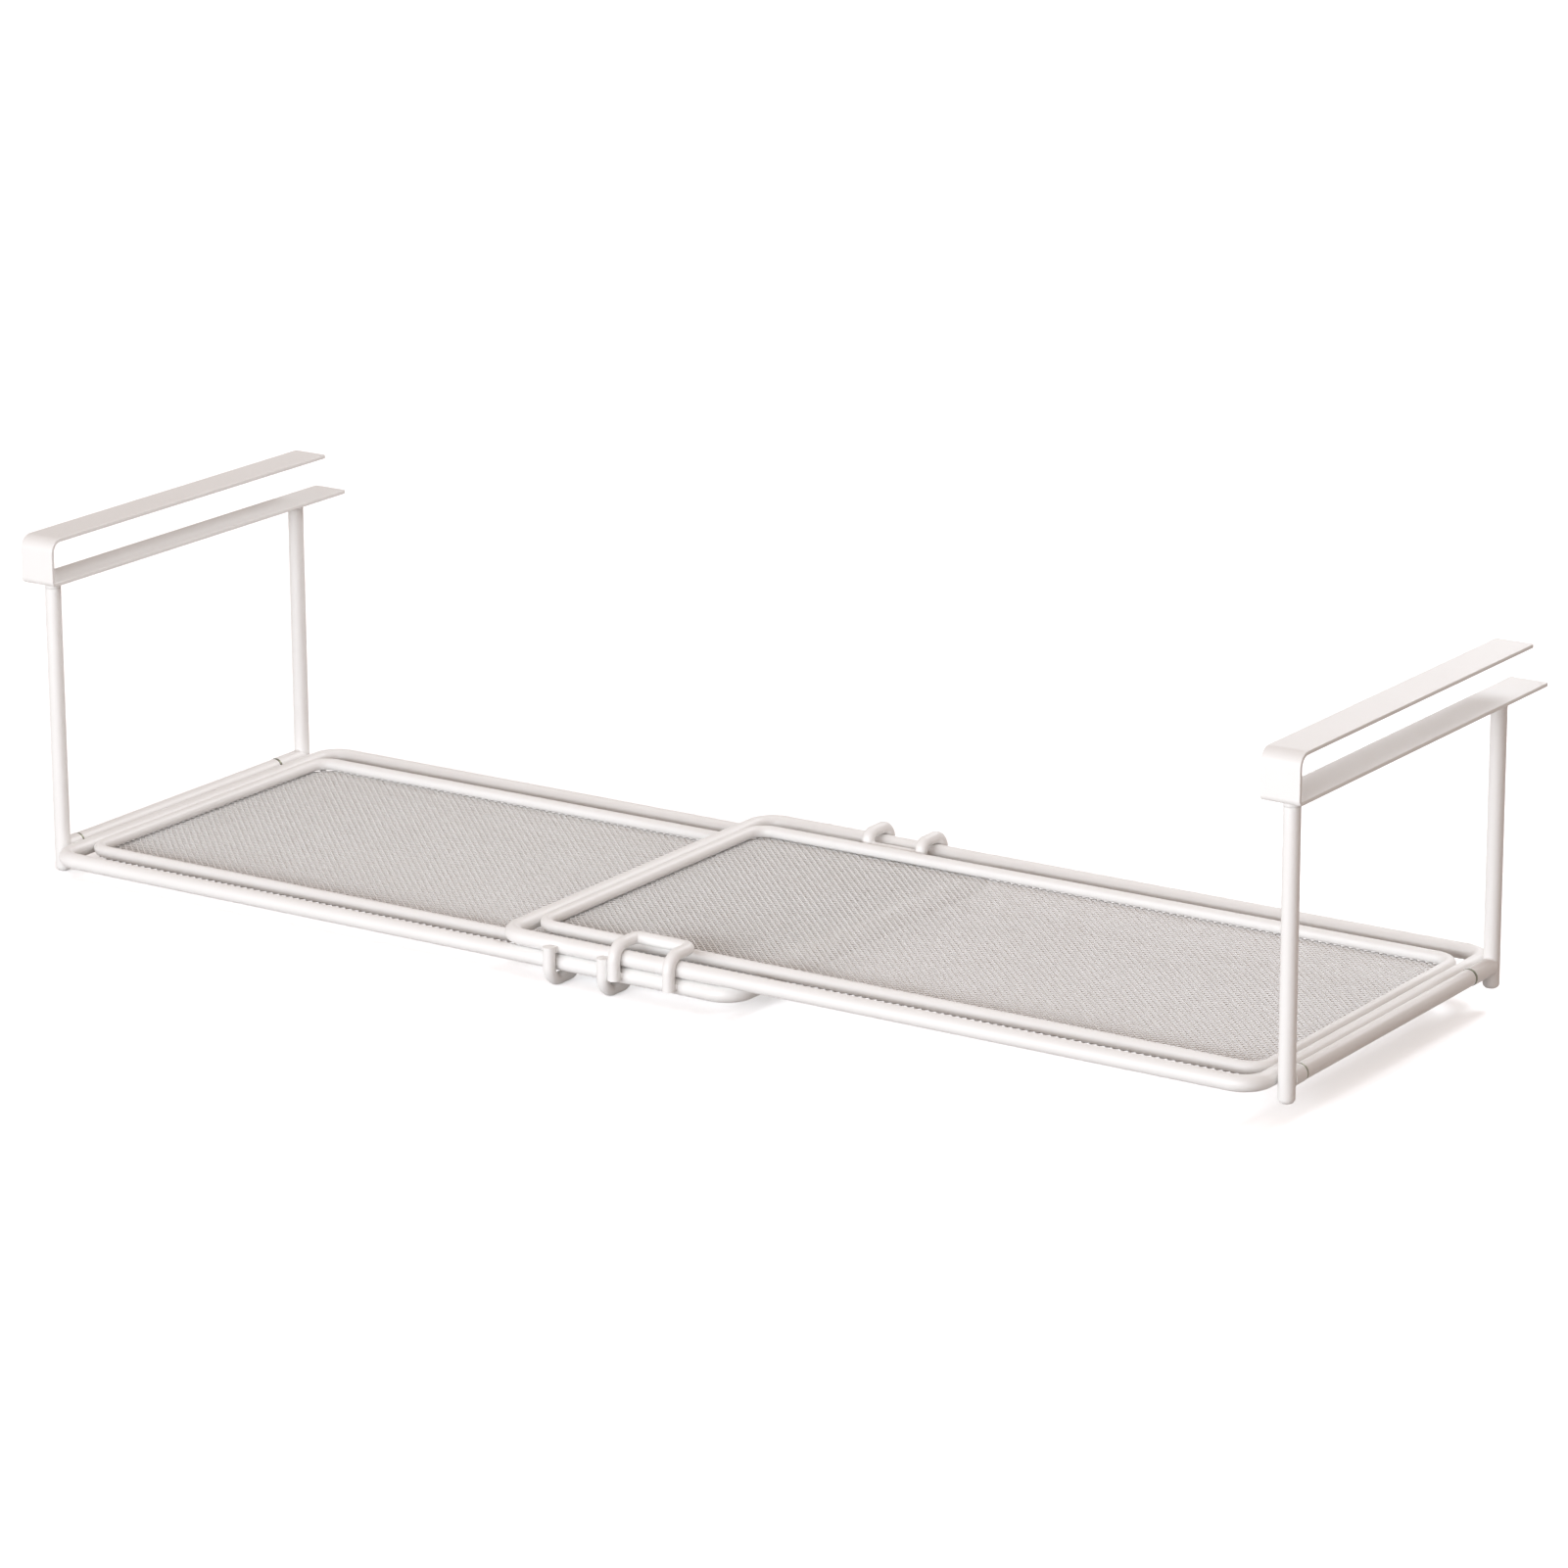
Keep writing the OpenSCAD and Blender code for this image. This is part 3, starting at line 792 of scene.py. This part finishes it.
def seen_rays(tree):
    """One for the rays that show a thing in the picture, and nought for those that light it."""
    path = add_node(tree, "ShaderNodeLightPath").outputs
    seen = add_node(tree, MATH, {0: path["Is Camera Ray"], 1: path["Is Glossy Ray"]},
                    operation="MAXIMUM")
    return add_node(tree, MATH, {0: seen, 1: path["Is Transmission Ray"]}, operation="MAXIMUM")


def floor_material(stage):
    """Matt paper floor: white in the picture, warm grey where it lights the object."""
    material = new_material("matt_paper_floor", (1, 1, 1))
    tree = material.node_tree
    paper = add_node(tree, "ShaderNodeBsdfDiffuse", {"Color": PAPER})
    where = add_node(tree, "ShaderNodeTexCoord").outputs["Object"]
    away = add_node(tree, VECTOR_MATH, {0: where}, operation="LENGTH")
    rise = add_node(tree, "ShaderNodeMapRange", {
        "Value": away.outputs["Value"], "From Min": stage.lift_near, "From Max": stage.lift_far,
        "To Min": stage.floor_lift, "To Max": 1.0}, interpolation_type="SMOOTHSTEP")
    lift = add_node(tree, "ShaderNodeEmission", {"Strength": rise})
    bright = add_node(tree, "ShaderNodeAddShader", {0: paper, 1: lift})
    dim = add_node(tree, "ShaderNodeBsdfDiffuse", {"Color": (*stage.floor, 1)})
    both = add_node(tree, "ShaderNodeMixShader", {"Fac": seen_rays(tree), 1: dim, 2: bright})
    add_node(tree, "ShaderNodeOutputMaterial", {"Surface": both})
    return material


def surroundings(stage):
    """A soft warm light from all round, behind a white that only the camera sees."""
    world = bpy.data.worlds.new("studio")
    world.use_nodes = True
    tree = world.node_tree
    tree.nodes.clear()
    soft = add_node(tree, "ShaderNodeBackground", {
        "Color": (*stage.sky, 1), "Strength": stage.sky_strength})
    white = add_node(tree, "ShaderNodeBackground", {"Color": WHITE, "Strength": 1.0})
    both = add_node(tree, "ShaderNodeMixShader", {"Fac": seen_rays(tree), 1: soft, 2: white})
    add_node(tree, "ShaderNodeOutputWorld", {"Surface": both})
    return world


def set_camera(scene, stage):
    """The photo's camera."""
    camera = bpy.data.objects.new("camera", bpy.data.cameras.new("camera"))
    scene.collection.objects.link(camera)
    camera.matrix_world = (Matrix.Translation(stage.camera)
                           @ Matrix.Rotation(stage.azimuth, 4, "Z")
                           @ Matrix.Rotation(math.pi / 2 - stage.elevation, 4, "X")
                           @ Matrix.Rotation(stage.roll, 4, "Z"))
    camera.data.sensor_width = SENSOR
    camera.data.lens = stage.lens
    scene.camera = camera


def hang_lamp(scene, stage, name):
    """One flat lamp that points at the object's middle."""
    lamp = bpy.data.lights.new(name, "AREA")
    lamp.shape = "RECTANGLE"
    lamp.energy = getattr(stage, name)
    lamp.color = stage.lamp_colour
    lamp.size, lamp.size_y = getattr(stage, f"{name}_size")
    box = bpy.data.objects.new(name, lamp)
    box.location = getattr(stage, f"{name}_place")
    box.rotation_euler = (AIM - box.location).to_track_quat("-Z", "Y").to_euler()
    scene.collection.objects.link(box)


def lay_floor(scene, stage):
    """A wide sheet of paper under the object."""
    bm = bmesh.new()
    bmesh.ops.create_grid(bm, x_segments=1, y_segments=1, size=stage.floor_reach)
    mesh = bpy.data.meshes.new("floor")
    bm.to_mesh(mesh)
    bm.free()
    mesh.materials.append(floor_material(stage))
    floor = bpy.data.objects.new("floor", mesh)
    scene.collection.objects.link(floor)


class ORGANIZER_OT_stage(bpy.types.Operator):
    """Sets the camera, the lamps and the floor"""

    bl_idname = "organizer.stage"
    bl_label = "Stage"

    def execute(self, context):
        scene = context.scene
        stage = scene.organizer_stage
        set_camera(scene, stage)
        for name in LAMPS:
            hang_lamp(scene, stage, name)
        scene.world = surroundings(stage)
        lay_floor(scene, stage)
        scene.view_settings.view_transform = "Standard"
        return {"FINISHED"}


GROUPS = {"organizer_finish": OrganizerFinish, "organizer_mesh": OrganizerMesh,
          "organizer_hook": OrganizerHook, "organizer_weld": OrganizerWeld,
          "organizer_stage": OrganizerStage}
OPERATORS = (ORGANIZER_OT_finish, ORGANIZER_OT_mesh, ORGANIZER_OT_hooks, ORGANIZER_OT_welds,
             ORGANIZER_OT_stage)


class ORGANIZER_PT_panel(bpy.types.Panel):
    """Lists the steps that dress the organizer"""

    bl_idname = "ORGANIZER_PT_panel"
    bl_label = "Basket organizer"
    bl_space_type = "VIEW_3D"
    bl_region_type = "UI"
    bl_category = "Organizer"

    def draw(self, context):
        for name, group in GROUPS.items():
            for setting in group.__annotations__:
                self.layout.prop(getattr(context.scene, name), setting)
        for operator in OPERATORS:
            self.layout.operator(operator.bl_idname)


def register():
    for group in GROUPS.values():
        bpy.utils.register_class(group)
    for name, group in GROUPS.items():
        setattr(bpy.types.Scene, name, PointerProperty(type=group))
    for cls in (*OPERATORS, ORGANIZER_PT_panel):
        bpy.utils.register_class(cls)


def unregister():
    for cls in (ORGANIZER_PT_panel, *reversed(OPERATORS)):
        bpy.utils.unregister_class(cls)
    for name, group in GROUPS.items():
        delattr(bpy.types.Scene, name)
        bpy.utils.unregister_class(group)


def main():
    """Dresses the frame."""
    register()
    bpy.ops.organizer.finish()
    bpy.ops.organizer.mesh()
    bpy.ops.organizer.hooks()
    bpy.ops.organizer.welds()
    bpy.ops.organizer.stage()


if __name__ == "__main__":
    main()
